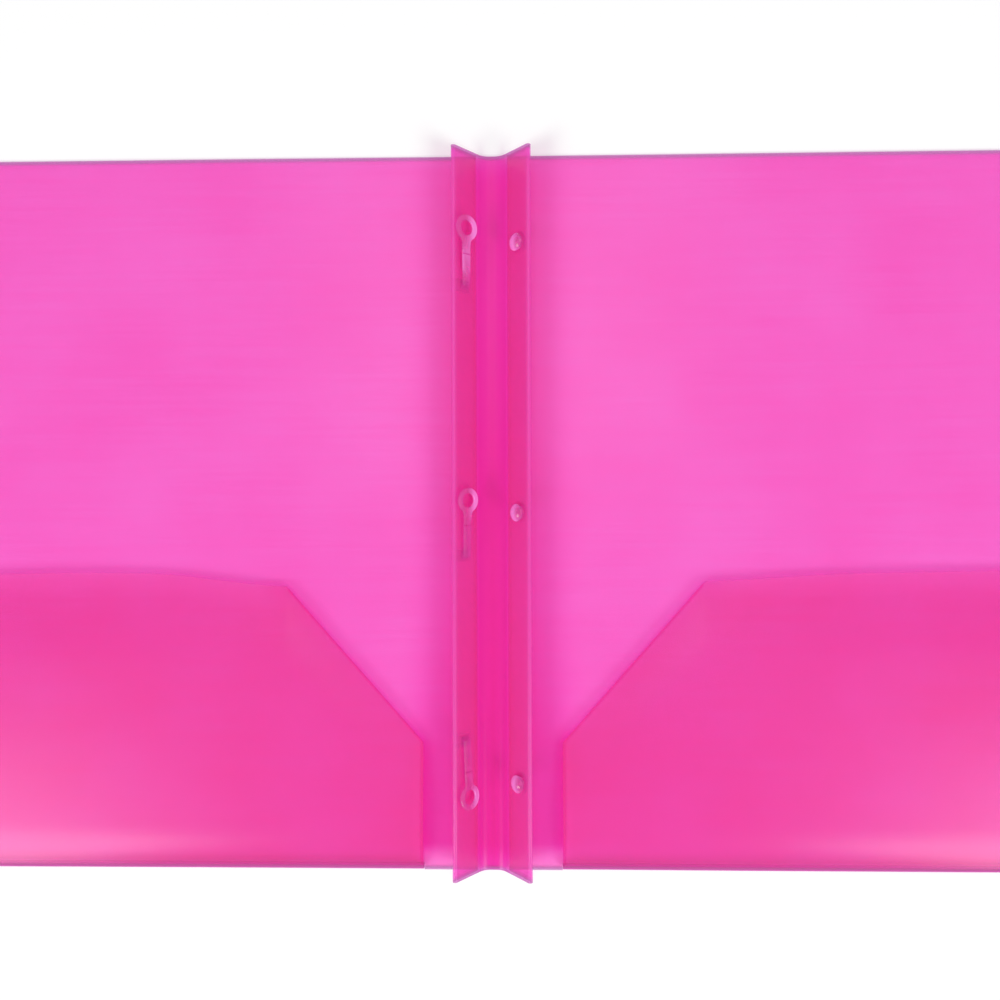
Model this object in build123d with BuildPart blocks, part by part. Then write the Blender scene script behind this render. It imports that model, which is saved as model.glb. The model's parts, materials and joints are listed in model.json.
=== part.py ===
"""Two pocket folder of translucent polypropylene sheet, lying open.

The frame: X runs across the open folder, Y along the spine towards the top edge, Z up.
The origin is on the table, under the middle of the spine.
Each side has a cover with a welded pocket and a double walled binding fin that stands beside the spine.
Domed studs on the right fin take punched paper, and loop straps on the left fin button over them.
"""

import os
from math import asin, cos, degrees, radians, sin

from build123d import *

# Sheet and covers, in millimetres
sheet = 0.5
folder_height = 292.0
cover_width = 238.7
cover_corner_radius = 6.0

# Spine and binding fins
spine_fold_spacing = 7.6
fin_length = 16.6
fin_angle = 48.0  # degrees above the table with the folder lying open
fin_wall_gap = 1.1
fold_clearance = 0.1

# Pockets
pocket_gap = 4.4
pocket_height = 117.0
pocket_inner_height = 50.0
pocket_setback = 21.5  # from the cover's fold to the pocket's inner edge
pocket_cut_width = 59.0  # run of the slanted edge along X

# Places of the fasteners
hole_pitch = 108.0
fastener_rise = 10.8  # up a fin, from its fold at the spine

# Studs on the right fin
stud_head_diameter = 7.0
stud_head_rim = 0.35
stud_head_crown = 1.6
stud_neck_diameter = 5.0
stud_neck_height = 1.25
stud_shank_diameter = 4.0
stud_cap_diameter = 8.0
cap_thickness = 0.8
fit_clearance = 0.05

# Loop straps on the left fin
strap_setback = 17.0  # from a stud's level back to its strap's bend
strap_reach = 22.0  # from the strap's bend to the middle of its eyelet
strap_tongue_length = 12.0  # from the strap's bend to the eyelet's own bend
strap_width = 4.0
strap_thickness = 1.0
strap_shoulder_radius = 2.0
eyelet_outer_diameter = 10.0
eyelet_hole_diameter = 5.6
eyelet_curl_share = 0.5  # the eyelet's further lift, as a share of the strap's own
strap_bead_diameter = 1.4
bead_clearance = 0.1

# Anchors that hold the straps
anchor_length = 3.4
anchor_height = 0.5
anchor_floor = 0.3  # left under the bead's groove
anchor_neck_length = 1.2
anchor_neck_width = 3.0
anchor_cap_length = 5.0
anchor_cap_width = 7.0

# Name, place along Y in hole pitches, direction along Y and lift off the fin in degrees
straps = (("top", 1, 1, 4.0), ("middle", 0, 1, 3.0), ("bottom", -1, -1, 3.0))
sides = (("left", -1), ("right", 1))

# Worked out from the sizes above
half_height = folder_height / 2
half_sheet = sheet / 2
spine_fold_x = spine_fold_spacing / 2
rise, run = sin(radians(fin_angle)), cos(radians(fin_angle))

ridge_outer_radius = sheet + fin_wall_gap / 2
ridge_inner_radius = fin_wall_gap / 2
ridge_u = fin_length - ridge_outer_radius  # centre of the rounded ridge, along the fin
ridge_n = -(half_sheet + fin_wall_gap / 2)  # and across it
fin_outer_n = ridge_n - ridge_outer_radius
cover_fold_n = fin_outer_n - fold_clearance - half_sheet
cover_fold_u = -cover_fold_n * run / rise
cover_fold_x = spine_fold_x - cover_fold_n / rise
fore_edge_x = cover_fold_x + cover_width

pocket_fold_radius = sheet + pocket_gap / 2
pocket_foot_y = pocket_fold_radius - half_height
pocket_floor_z = sheet + pocket_gap
pocket_inner_x = cover_fold_x + pocket_setback
pocket_lip_y = pocket_foot_y + pocket_height

strap_bead_radius = strap_bead_diameter / 2
half_strap = strap_thickness / 2
tongue_length = strap_tongue_length - half_strap - bead_clearance
eyelet_neck_length = strap_reach - strap_tongue_length
strap_axis_n = half_sheet + anchor_floor + bead_clearance + strap_bead_radius
stud_crown_radius = ((stud_head_diameter / 2) ** 2 + stud_head_crown**2) / (2 * stud_head_crown)
stud_crown_angle = degrees(asin(stud_head_diameter / 2 / stud_crown_radius))


def fin_section(sign):
    """Plane across a fin: local x runs up the fin from the spine fold, local y out of its face."""
    return Plane(
        origin=(sign * spine_fold_x, 0, half_sheet),
        x_dir=(sign * run, 0, rise),
        z_dir=(0, -sign, 0),
    )


def fin_face(sign):
    """Plane in the middle of a fin's inner wall: local y runs up the fin, local z out of its face."""
    return Plane(
        origin=(sign * spine_fold_x, 0, half_sheet),
        x_dir=(0, -sign, 0),
        z_dir=(-sign * rise, 0, run),
    )


def on_fin(sign, along_y):
    """A fastener's place on a fin face, in that plane's own x and y."""
    return (-sign * along_y, fastener_rise)


def bent_plane(origin, along, out, lift):
    """Plane of a strap that leaves its bend at an angle to the fin: local x runs along the strap."""
    angle = radians(lift)
    return Plane(
        origin=origin,
        x_dir=along * cos(angle) + out * sin(angle),
        z_dir=out * cos(angle) - along * sin(angle),
    )


def save(part, name):
    """Labels a finished piece and writes it as one STEP file."""
    part.label = name
    export_step(part, os.path.join("parts", name + ".step"))


os.makedirs("parts", exist_ok=True)

# Spine panel, between the two spine folds
with BuildPart() as spine_panel:
    with BuildSketch(Plane.XY):
        Rectangle(spine_fold_spacing - sheet - 2 * fold_clearance, folder_height)
    extrude(amount=sheet)
save(spine_panel.part, "spine_panel")

for side, sign in sides:
    # Inner wall of the fin, with a rounded edge on the spine fold and half of the ridge
    with BuildPart() as gusset_inner:
        with BuildSketch(fin_section(sign)):
            with BuildLine():
                Line((0, -half_sheet), (ridge_u, -half_sheet))
                CenterArc((ridge_u, ridge_n), ridge_inner_radius, 90, -90)
                Line((ridge_u + ridge_inner_radius, ridge_n), (fin_length, ridge_n))
                CenterArc((ridge_u, ridge_n), ridge_outer_radius, 0, 90)
                Line((ridge_u, half_sheet), (0, half_sheet))
                CenterArc((0, 0), half_sheet, 90, 180)
            make_face()
        extrude(amount=half_height, both=True)
        with BuildSketch(fin_face(sign).offset(half_sheet)):
            if side == "right":
                for pitches in (1, 0, -1):
                    with Locations(on_fin(sign, pitches * hole_pitch)):
                        Circle(stud_shank_diameter / 2 + fit_clearance)
            else:
                for name, pitches, direction, lift in straps:
                    with Locations(on_fin(sign, pitches * hole_pitch - direction * strap_setback)):
                        Rectangle(
                            anchor_neck_length + 2 * fit_clearance,
                            anchor_neck_width + 2 * fit_clearance,
                        )
        extrude(amount=-sheet, mode=Mode.SUBTRACT)
    save(gusset_inner.part, side + "_gusset_inner")

    # Outer wall of the fin, from the other half of the ridge down to the cover's fold
    with BuildPart() as gusset_outer:
        with BuildSketch(fin_section(sign)):
            with BuildLine():
                Line((cover_fold_u, fin_outer_n), (ridge_u, fin_outer_n))
                CenterArc((ridge_u, ridge_n), ridge_outer_radius, -90, 90)
                Line((fin_length, ridge_n), (ridge_u + ridge_inner_radius, ridge_n))
                CenterArc((ridge_u, ridge_n), ridge_inner_radius, 0, -90)
                Line((ridge_u, ridge_n - ridge_inner_radius), (cover_fold_u, fin_outer_n + sheet))
                Line((cover_fold_u, fin_outer_n + sheet), (cover_fold_u, fin_outer_n))
            make_face()
        extrude(amount=half_height, both=True)
    save(gusset_outer.part, side + "_gusset_outer")

    # Cover, with a rounded edge on its fold, cut back where the pocket folds up from its foot
    with BuildPart() as cover:
        with BuildSketch(Plane.XZ):
            with Locations((sign * (cover_fold_x + cover_width / 2), half_sheet)):
                Rectangle(cover_width, sheet)
            with Locations((sign * cover_fold_x, half_sheet)):
                Circle(half_sheet)
        extrude(amount=half_height, both=True)
        with BuildSketch(Plane.XY):
            with Locations((sign * (pocket_inner_x + fore_edge_x) / 2, -half_height)):
                Rectangle(fore_edge_x - pocket_inner_x, 2 * pocket_fold_radius)
        extrude(amount=sheet, mode=Mode.SUBTRACT)
        top_edges = cover.edges().filter_by(Axis.Z).group_by(Axis.Y)[-1]
        fillet(top_edges.sort_by(Axis.X)[-1 if sign > 0 else 0], cover_corner_radius)
    save(cover.part, side + "_cover")

    # Pocket panel, cut on a slant at its inner top corner
    with BuildPart() as pocket:
        with BuildSketch(Plane.XY.offset(pocket_floor_z)):
            with BuildLine():
                Polyline(
                    (sign * pocket_inner_x, pocket_foot_y),
                    (sign * fore_edge_x, pocket_foot_y),
                    (sign * fore_edge_x, pocket_lip_y),
                    (sign * (pocket_inner_x + pocket_cut_width), pocket_lip_y),
                    (sign * pocket_inner_x, pocket_foot_y + pocket_inner_height),
                    close=True,
                )
            make_face()
        extrude(amount=sheet)
    save(pocket.part, side + "_pocket")

    # Rounded fold at the pocket's foot
    with BuildPart() as pocket_fold:
        with BuildSketch(Plane.YZ.offset(min(sign * pocket_inner_x, sign * fore_edge_x))):
            with BuildLine():
                CenterArc((pocket_foot_y, pocket_fold_radius), pocket_fold_radius, 90, 180)
                Line((pocket_foot_y, 0), (pocket_foot_y, sheet))
                CenterArc((pocket_foot_y, pocket_fold_radius), pocket_gap / 2, 270, -180)
                Line((pocket_foot_y, pocket_floor_z), (pocket_foot_y, pocket_floor_z + sheet))
            make_face()
        extrude(amount=fore_edge_x - pocket_inner_x)
    save(pocket_fold.part, side + "_pocket_bottom_fold")

    # Side seam that closes the pocket along the fore edge
    with BuildPart() as pocket_seam:
        with BuildSketch(Plane.XY.offset(sheet)):
            with Locations((sign * (fore_edge_x - half_sheet), (pocket_foot_y + pocket_lip_y) / 2)):
                Rectangle(sheet, pocket_height)
        extrude(amount=pocket_gap)
    save(pocket_seam.part, side + "_pocket_side_seam")

# Studs and their caps, on the right fin
for name, pitches, direction, lift in straps:
    stud_plane = fin_section(1).offset(-pitches * hole_pitch)
    with BuildPart() as stud:
        with BuildSketch(stud_plane):
            with BuildLine():
                head_n = half_sheet + stud_neck_height
                crown_n = head_n + stud_head_rim
                Polyline(
                    (fastener_rise, crown_n + stud_head_crown),
                    (fastener_rise, -half_sheet - cap_thickness),
                    (fastener_rise + stud_shank_diameter / 2, -half_sheet - cap_thickness),
                    (fastener_rise + stud_shank_diameter / 2, half_sheet),
                    (fastener_rise + stud_neck_diameter / 2, half_sheet),
                    (fastener_rise + stud_neck_diameter / 2, head_n),
                    (fastener_rise + stud_head_diameter / 2, head_n),
                    (fastener_rise + stud_head_diameter / 2, crown_n),
                )
                CenterArc(
                    (fastener_rise, crown_n + stud_head_crown - stud_crown_radius),
                    stud_crown_radius,
                    90 - stud_crown_angle,
                    stud_crown_angle,
                )
            make_face()
        stud_foot = stud_plane.from_local_coords((fastener_rise, 0, 0))
        revolve(axis=Axis(stud_foot, fin_face(1).z_dir))
    save(stud.part, name + "_stud")

    with BuildPart() as stud_cap:
        with BuildSketch(fin_face(1).offset(-half_sheet)):
            with Locations(on_fin(1, pitches * hole_pitch)):
                Circle(stud_cap_diameter / 2)
                Circle(stud_shank_diameter / 2 + fit_clearance, mode=Mode.SUBTRACT)
        extrude(amount=-cap_thickness)
    save(stud_cap.part, name + "_stud_cap")

# Loop straps with their anchors and caps, on the left fin
for name, pitches, direction, lift in straps:
    root_y = pitches * hole_pitch - direction * strap_setback
    root_place = on_fin(-1, root_y)
    bend = fin_face(-1).from_local_coords((*root_place, strap_axis_n))
    along, out = Vector(0, direction, 0), fin_face(-1).z_dir
    strap_plane = bent_plane(bend, along, out, lift)
    with BuildPart() as strap:
        with BuildSketch(strap_plane):
            with Locations((tongue_length / 2, 0)):
                Rectangle(tongue_length, strap_width)
        extrude(amount=half_strap, both=True)
        with BuildSketch(Plane(origin=bend, x_dir=along, z_dir=strap_plane.y_dir)):
            Circle(strap_bead_radius)
        extrude(amount=strap_width / 2, both=True)
    save(strap.part, name + "_strap")

    eyelet_bend = strap_plane.from_local_coords((strap_tongue_length, 0, 0))
    eyelet_plane = bent_plane(eyelet_bend, along, out, lift * (1 + eyelet_curl_share))
    with BuildPart() as eyelet:
        with BuildSketch(eyelet_plane) as outline:
            with Locations((eyelet_neck_length / 2, 0)):
                Rectangle(eyelet_neck_length, strap_width)
            with Locations((eyelet_neck_length, 0)):
                Circle(eyelet_outer_diameter / 2)
            fillet(outline.vertices().sort_by(Axis.X)[2:4], strap_shoulder_radius)
            with Locations((eyelet_neck_length, 0)):
                Circle(eyelet_hole_diameter / 2, mode=Mode.SUBTRACT)
        extrude(amount=half_strap, both=True)
        with BuildSketch(Plane(origin=eyelet_bend, x_dir=along, z_dir=strap_plane.y_dir)):
            Circle(half_strap)
        extrude(amount=strap_width / 2, both=True)
    save(eyelet.part, name + "_eyelet")

    with BuildPart() as anchor:
        with BuildSketch(fin_face(-1).offset(half_sheet)):
            with Locations(root_place):
                Rectangle(anchor_length, strap_width)
        extrude(amount=anchor_height)
        with BuildSketch(fin_face(-1).offset(half_sheet)):
            with Locations(root_place):
                Rectangle(anchor_neck_length, anchor_neck_width)
        extrude(amount=-sheet - cap_thickness)
        with BuildSketch(Plane(origin=bend, x_dir=along, z_dir=strap_plane.y_dir)):
            Circle(strap_bead_radius + bead_clearance)
        extrude(amount=strap_width, both=True, mode=Mode.SUBTRACT)
    save(anchor.part, name + "_strap_anchor")

    with BuildPart() as anchor_cap:
        with BuildSketch(fin_face(-1).offset(-half_sheet)):
            with Locations(root_place):
                Rectangle(anchor_cap_length, anchor_cap_width)
                Rectangle(
                    anchor_neck_length + 2 * fit_clearance,
                    anchor_neck_width + 2 * fit_clearance,
                    mode=Mode.SUBTRACT,
                )
        extrude(amount=-cap_thickness)
    save(anchor_cap.part, name + "_strap_cap")
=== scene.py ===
"""Looks of an open two pocket folder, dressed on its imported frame.

The folder is one die-cut sheet of translucent pink polypropylene, scored and folded into a spine panel,
two hollow binding fins, two covers and two pockets. Loop straps on the left fin button over domed studs on
the right one. Lengths are in metres, with x across the open folder, y along the spine towards the top edge
and z up.
"""

import json
import logging
import math
from dataclasses import dataclass
from enum import Enum
from typing import Any, Sequence

import bmesh
import bpy
import numpy as np
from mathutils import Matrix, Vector


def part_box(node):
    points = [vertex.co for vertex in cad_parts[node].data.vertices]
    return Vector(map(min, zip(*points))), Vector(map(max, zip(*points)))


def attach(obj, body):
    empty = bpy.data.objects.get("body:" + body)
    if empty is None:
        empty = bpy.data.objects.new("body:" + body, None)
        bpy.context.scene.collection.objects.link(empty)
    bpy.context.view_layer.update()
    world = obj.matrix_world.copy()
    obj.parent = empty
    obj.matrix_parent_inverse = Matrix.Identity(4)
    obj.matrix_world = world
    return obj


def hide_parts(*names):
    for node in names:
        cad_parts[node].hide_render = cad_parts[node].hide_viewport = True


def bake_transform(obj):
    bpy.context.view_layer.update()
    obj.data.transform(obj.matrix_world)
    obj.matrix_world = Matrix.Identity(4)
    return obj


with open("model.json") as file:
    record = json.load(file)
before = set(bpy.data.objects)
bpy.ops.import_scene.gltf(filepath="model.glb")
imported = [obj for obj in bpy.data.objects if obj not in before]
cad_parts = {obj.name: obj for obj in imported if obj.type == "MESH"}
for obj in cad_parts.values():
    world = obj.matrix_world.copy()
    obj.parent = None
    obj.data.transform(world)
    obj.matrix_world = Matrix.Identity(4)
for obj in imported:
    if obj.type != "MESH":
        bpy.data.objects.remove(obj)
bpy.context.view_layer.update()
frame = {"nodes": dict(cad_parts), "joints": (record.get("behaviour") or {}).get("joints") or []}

LOG = logging.getLogger("pocket_folder")
MM = 0.001
SHEET = 0.5 * MM
CUT_WIDTH = 0.9 * MM
# Points closer than this are merged, and edges that turn by more degrees than this stay sharp
MERGE_DISTANCE = 1e-7
SHARP_ANGLE = 40.0
# The share of a step by which rounding may overrun a length
STEP_SLACK = 1e-6


class Side(Enum):
    """The two halves of the open folder, with the sign of their x."""

    LEFT = -1
    RIGHT = 1

    @property
    def label(self) -> str:
        """The side's name in the frame's nodes and bodies."""
        return self.name.lower()


class Slot(Enum):
    """The record's material slots that the pieces made here take."""

    SHEET = "pink_sheet"
    FASTENER = "fastener_plastic"


class Mark(Enum):
    """What a finish reads at each point.

    PALE is a paler tone: on the sheet the bruise of a fold with a painted highlight, on the fasteners painted
    light. DIM is painted shade, LIT is painted light, and CUT is a cut edge's grey with painted edge shade.
    """

    PALE = "pale"
    # Painted shade
    DIM = "dim"
    # Painted light
    LIT = "lit"
    CUT = "cut"


class Place(Enum):
    """The three fasteners, with hole pitches above the middle and the way that the strap points along y."""

    TOP = (1, 1)
    MIDDLE = (0, 1)
    BOTTOM = (-1, -1)

    @property
    def label(self) -> str:
        """The fastener's name in the frame's nodes and bodies."""
        return self.name.lower()


def ease(value: Any, start: float, end: float) -> Any:
    """Rises smoothly from 0 at start to 1 at end.

    Args:
        value: A number or an array.
        start: Where the rise begins.
        end: Where the rise ends.

    Returns:
        The share of the rise, in the form of value.
    """
    share = np.clip((value - start) / (end - start), 0.0, 1.0)
    return share * share * (3.0 - 2.0 * share)


def cut_share(inside: np.ndarray) -> np.ndarray:
    """How much a point shows the grey of a cut edge, from its distance inside that edge."""
    return 1.0 - ease(inside, CUT_WIDTH, 2 * CUT_WIDTH)


@dataclass(frozen=True)
class TableShade:
    """Painted shade that deepens the sheet's colour beside the spine, where the fins and pockets shade it.

    A share of 0 is plain sheet on a bright table. A share of 1 is the deepest painted shade, between the
    pockets.
    """

    valley_edge: float = 5.0 * MM
    wall_start: float = 8.5 * MM
    wall_share: float = 0.14
    upper_share: float = 0.72
    fin_share: float = 0.26
    fin_reach: float = 38 * MM
    pocket_share: float = 0.16
    pocket_start: float = 45 * MM
    pocket_full: float = 108 * MM
    gutter_end: float = 25 * MM
    gutter_fade: float = 42 * MM
    # The painted shadow that a pocket's raised inner edge casts towards the spine
    edge_share: float = 0.35
    edge_width: float = 4 * MM
    # Near the open feet the painted shade fades and painted light takes over
    patch_start: float = 135 * MM
    patch_end: float = 141 * MM
    open_end: float = 146 * MM
    patch_share: float = 0.9
    end_loss: float = 0.5

    def under_spine(self, x: np.ndarray, y: np.ndarray) -> np.ndarray:
        """The share of painted shade under the spine panel and its fin.

        Args:
            x: Distance from the spine's middle.
            y: Place along the spine.

        Returns:
            A share for each point, most in the lower half of the valley and little near the open ends.
        """
        valley = 1.0 - ease(x, self.valley_edge, self.wall_start)
        low = self.upper_share + (1.0 - self.upper_share) * ease(-y, -self.pocket_full, self.pocket_start)
        ends = 1.0 - self.end_loss * ease(np.abs(y), self.patch_start, self.open_end)
        return np.maximum(valley * low * ends, self.wall_share)

    def under_cover(
        self, x: np.ndarray, y: np.ndarray, pocket_edge: float, pocket_corner: float
    ) -> np.ndarray:
        """The share of painted shade under a cover, with the painted shadow of the pocket's raised edge.

        Args:
            x: Distance from the spine's middle.
            y: Place along the spine.
            pocket_edge: Where the pocket's inner edge stands.
            pocket_corner: The top of that edge.

        Returns:
            A share for each point, most beside the pocket's edge and none at the bare patch under it.
        """
        # Painted shade beside the fin and between the pockets, and the pocket edge's painted shadow
        beside_fin = self.fin_share * (1.0 - ease(x, self.wall_start, self.fin_reach))
        low = ease(-y, self.pocket_start, self.pocket_full)
        between = self.pocket_share * low * (1.0 - ease(x, self.gutter_end, self.gutter_fade))
        below_corner = ease(pocket_corner - y, -self.edge_width, self.edge_width)
        beside_pocket = self.edge_share * np.exp(-(((x - pocket_edge) / self.edge_width) ** 2)) * below_corner
        bare = 1.0 - ease(-y, self.patch_start, self.patch_end)
        upper_end = 1.0 - self.end_loss * ease(y, self.patch_start, self.open_end)
        return np.minimum(beside_fin + between + beside_pocket, 1.0) * bare * upper_end

    def bare_patch(self, x: np.ndarray, y: np.ndarray, pocket_edge: float) -> np.ndarray:
        """How much painted light lightens the open foot of a cover, between the fin and the pocket.

        Args:
            x: Distance from the spine's middle.
            y: Place along the spine.
            pocket_edge: Where the pocket's inner edge stands.

        Returns:
            A share for each point, most along the foot.
        """
        foot = ease(-y, self.patch_start, self.open_end)
        return self.patch_share * np.where(x < pocket_edge, foot, 0.0)


def joint_named(name: str) -> dict:
    """A joint of the frame, as its record gives it."""
    return next(joint for joint in frame["joints"] if joint["name"] == name)


@dataclass(frozen=True)
class FolderLayout:
    """Places that the pieces share, on the right side of the folder."""

    spine_fold: float
    cover_fold: float
    fin_angle: float
    half_height: float
    fore_edge: float
    pocket_inner: float
    pocket_foot: float
    pocket_lip: float
    mid_sheet: float = SHEET / 2
    fin_length: float = 16.6 * MM
    wall_pitch: float = 1.6 * MM
    outer_wall_end: float = 4.0 * MM
    fastener_rise: float = 10.8 * MM
    hole_pitch: float = 108 * MM
    pocket_inner_height: float = 50 * MM

    @classmethod
    def from_frame(cls) -> "FolderLayout":
        """Reads the folds from the joints, and the edges from the nodes' boxes.

        Returns:
            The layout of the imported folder.
        """
        _, cover_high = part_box("right_cover")
        pocket_low, pocket_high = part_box("right_pocket")
        return cls(
            spine_fold=joint_named("right_spine_fold")["pos_m"][0],
            cover_fold=joint_named("right_cover_fold")["pos_m"][0],
            fin_angle=math.radians(joint_named("right_cover_fold")["range_deg"][1]),
            half_height=cover_high.y,
            fore_edge=cover_high.x,
            pocket_inner=pocket_low.x,
            pocket_foot=pocket_low.y,
            pocket_lip=pocket_high.y,
        )

    def fin_section(self, up: float, off: float) -> Vector:
        """A point of the right fin's section.

        Args:
            up: Distance from the spine fold up the inner wall.
            off: Distance out of the inner wall's middle, towards the valley.

        Returns:
            The point's x and z.
        """
        run, rise = math.cos(self.fin_angle), math.sin(self.fin_angle)
        return Vector((self.spine_fold + up * run - off * rise, self.mid_sheet + up * rise + off * run))

    def on_fin(self, side: Side, up: float, along: float, off: float) -> Vector:
        """A point on a fin: up its inner wall, along y, and out of the wall's middle."""
        x, z = self.fin_section(up, off)
        return Vector((side.value * x, along, z))


def rounded_path(
    corners: Sequence[Vector], radii: Sequence[float], step: float, arc_steps: int
) -> list[Vector]:
    """Straight runs joined by tangent arcs, in one plane.

    Args:
        corners: The two ends and the corners between them.
        radii: A radius for each corner.
        step: The longest distance between points of a run.
        arc_steps: The number of steps in an arc.

    Returns:
        The points of the path.
    """
    points = [corners[0].copy()]

    def run_to(end: Vector) -> None:
        """Adds points as far as the end of a run.

        Args:
            end: The run's last point.
        """
        start = points[-1]
        count = math.ceil((end - start).length / step - STEP_SLACK)
        points.extend(start.lerp(end, k / count) for k in range(1, count + 1))

    for before, corner, after, radius in zip(corners, corners[1:], corners[2:], radii):
        inward = (corner - before).normalized()
        outward = (after - corner).normalized()
        turn = inward.angle(outward)
        start = corner - inward * radius * math.tan(turn / 2)
        run_to(start)
        centre = corner + (outward - inward).normalized() * radius / math.cos(turn / 2)
        for k in range(1, arc_steps + 1):
            angle = turn * k / arc_steps
            points.append(centre + (start - centre) * math.cos(angle) + inward * radius * math.sin(angle))
    run_to(corners[-1])
    return points


def spaced(start: float, end: float, step: float) -> list[float]:
    """Even places from start to end, both included, at most a step apart."""
    count = max(1, math.ceil(abs(end - start) / step - STEP_SLACK))
    return [start + (end - start) * k / count for k in range(count + 1)]


def edged(start: float, end: float, step: float) -> list[float]:
    """Even places from start to end, with close ones at both ends for the cut edges.

    Args:
        start: The first place.
        end: The last place.
        step: The longest distance between places.

    Returns:
        The places in order, both ends included.
    """
    near = [0.0, CUT_WIDTH]
    inner = spaced(start + 2 * CUT_WIDTH, end - 2 * CUT_WIDTH, step)
    return [start + d for d in near] + inner + [end - d for d in reversed(near)]


def object_from(name: str, mesh: bpy.types.Mesh) -> bpy.types.Object:
    """Makes an object of a mesh, smooth but for its sharp edges, with its faces outwards.

    Args:
        name: The piece's name.
        mesh: A closed mesh whose place is in its points.

    Returns:
        The object, in the scene.
    """
    shape = bmesh.new()
    shape.from_mesh(mesh)
    bmesh.ops.remove_doubles(shape, verts=shape.verts, dist=MERGE_DISTANCE)
    bmesh.ops.recalc_face_normals(shape, faces=shape.faces)
    shape.to_mesh(mesh)
    shape.free()
    mesh.shade_smooth()
    mesh.set_sharp_from_angle(angle=math.radians(SHARP_ANGLE))
    piece = bpy.data.objects.new(name, mesh)
    bpy.context.scene.collection.objects.link(piece)
    return piece


def sheet_grid(side: Side, x: np.ndarray, y: np.ndarray, z: np.ndarray) -> np.ndarray:
    """Points of the sheet's middle in rows and columns, on one side of the folder."""
    return np.stack(np.broadcast_arrays(side.value * x, y, z), axis=2)


def sheet_piece(name: str, grid: np.ndarray, marks: dict[Mark, np.ndarray]) -> bpy.types.Object:
    """A closed piece of the sheet round a grid of points of its middle.

    Args:
        name: The piece's name.
        grid: Points in rows and columns.
        marks: What the finish reads at each point, in the same rows and columns.

    Returns:
        The piece, with each mark in an attribute of its points.
    """
    rows, columns, _ = grid.shape
    normals = np.cross(np.gradient(grid, axis=0), np.gradient(grid, axis=1))
    normals /= np.linalg.norm(normals, axis=2, keepdims=True)
    walls = np.stack([grid + normals * SHEET / 2, grid - normals * SHEET / 2])
    index = np.arange(2 * rows * columns).reshape(2, rows, columns)
    faces = []
    for i in range(rows - 1):
        for j in range(columns - 1):
            for wall in index:
                faces.append((wall[i, j], wall[i + 1, j], wall[i + 1, j + 1], wall[i, j + 1]))
    rim = [(i, 0) for i in range(rows)] + [(rows - 1, j) for j in range(1, columns)]
    rim += [(i, columns - 1) for i in range(rows - 2, -1, -1)] + [(0, j) for j in range(columns - 2, 0, -1)]
    for (i, j), (k, m) in zip(rim, rim[1:] + rim[:1]):
        faces.append((index[0, i, j], index[0, k, m], index[1, k, m], index[1, i, j]))
    mesh = bpy.data.meshes.new(name)
    mesh.from_pydata(walls.reshape(-1, 3).tolist(), [], [tuple(map(int, face)) for face in faces])
    for mark, values in marks.items():
        mark_points(mesh, mark, np.concatenate([values.ravel(), values.ravel()]))
    return object_from(name, mesh)


def mark_points(mesh: bpy.types.Mesh, mark: Mark, values: np.ndarray) -> None:
    """Writes what a finish reads at each point of a mesh.

    Args:
        mesh: The mesh, with its points made.
        mark: What the values say.
        values: A value for each point.
    """
    attribute = mesh.attributes.new(mark.value, "FLOAT", "POINT")
    attribute.data.foreach_set("value", np.asarray(values, dtype=np.float32))


def seat(
    piece: bpy.types.Object,
    bodies: Sequence[str],
    nodes: Sequence[str],
    bend: tuple[Vector, Vector] | None = None,
) -> None:
    """Ties a finished piece to its body, or bakes the place of a piece on two bodies into its points, and
    hides the nodes that it stands for.

    Args:
        piece: The finished piece.
        bodies: One body, or the two that a bent piece joins.
        nodes: The frame's nodes that the piece replaces.
        bend: Where the bend starts and ends, for a piece on two bodies. Only whether it is given is read; its
            ends are not used.
    """
    if bend is None:
        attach(piece, bodies[0])
    else:
        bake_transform(piece)
    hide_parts(*nodes)
    LOG.info("%s on %s, for %s", piece.name, " and ".join(bodies), ", ".join(nodes))


def srgb(code: str) -> tuple[float, float, float, float]:
    """Turns an sRGB hex colour to linear values.

    Args:
        code: The colour, as # and six hex digits.

    Returns:
        Red, green, blue and a full alpha.
    """
    shares = [int(code[k : k + 2], 16) / 255 for k in (1, 3, 5)]
    linear = [s / 12.92 if s <= 0.04045 else ((s + 0.055) / 1.055) ** 2.4 for s in shares]
    return (*linear, 1.0)


def add_node(
    tree: bpy.types.NodeTree, kind: str, inputs: dict | None = None, **settings: Any
) -> bpy.types.Node:
    """Adds a node to a tree.

    Args:
        tree: The tree that gets the node.
        kind: The node's type name.
        inputs: A value, or a socket to link, for each input by its name or number.
        settings: The node's own settings.

    Returns:
        The new node.
    """
    node = tree.nodes.new(kind)
    for name, value in settings.items():
        setattr(node, name, value)
    for socket, value in (inputs or {}).items():
        if isinstance(value, bpy.types.NodeSocket):
            tree.links.new(value, node.inputs[socket])
        else:
            node.inputs[socket].default_value = value
    return node


def empty_material(name: str) -> bpy.types.Material:
    """Makes a material with no nodes yet.

    Args:
        name: The material's name.

    Returns:
        The material.
    """
    material = bpy.data.materials.new(name)
    material.use_nodes = True
    material.node_tree.nodes.clear()
    return material


def noise(
    tree: bpy.types.NodeTree, place: bpy.types.NodeSocket, scale: float, detail: float
) -> bpy.types.NodeSocket:
    """A soft noise over a material, as a socket."""
    inputs = {"Vector": place, "Scale": scale, "Detail": detail}
    return add_node(tree, "ShaderNodeTexNoise", inputs).outputs["Fac"]


def mixed(tree: bpy.types.NodeTree, share: Any, first: Any, second: Any) -> bpy.types.NodeSocket:
    """A colour between two by a share, each a socket or a value."""
    # The node's inputs 6 and 7 and its output 2 are the ones for colours
    inputs = {0: share, 6: first, 7: second}
    return add_node(tree, "ShaderNodeMix", inputs, data_type="RGBA").outputs[2]


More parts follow.
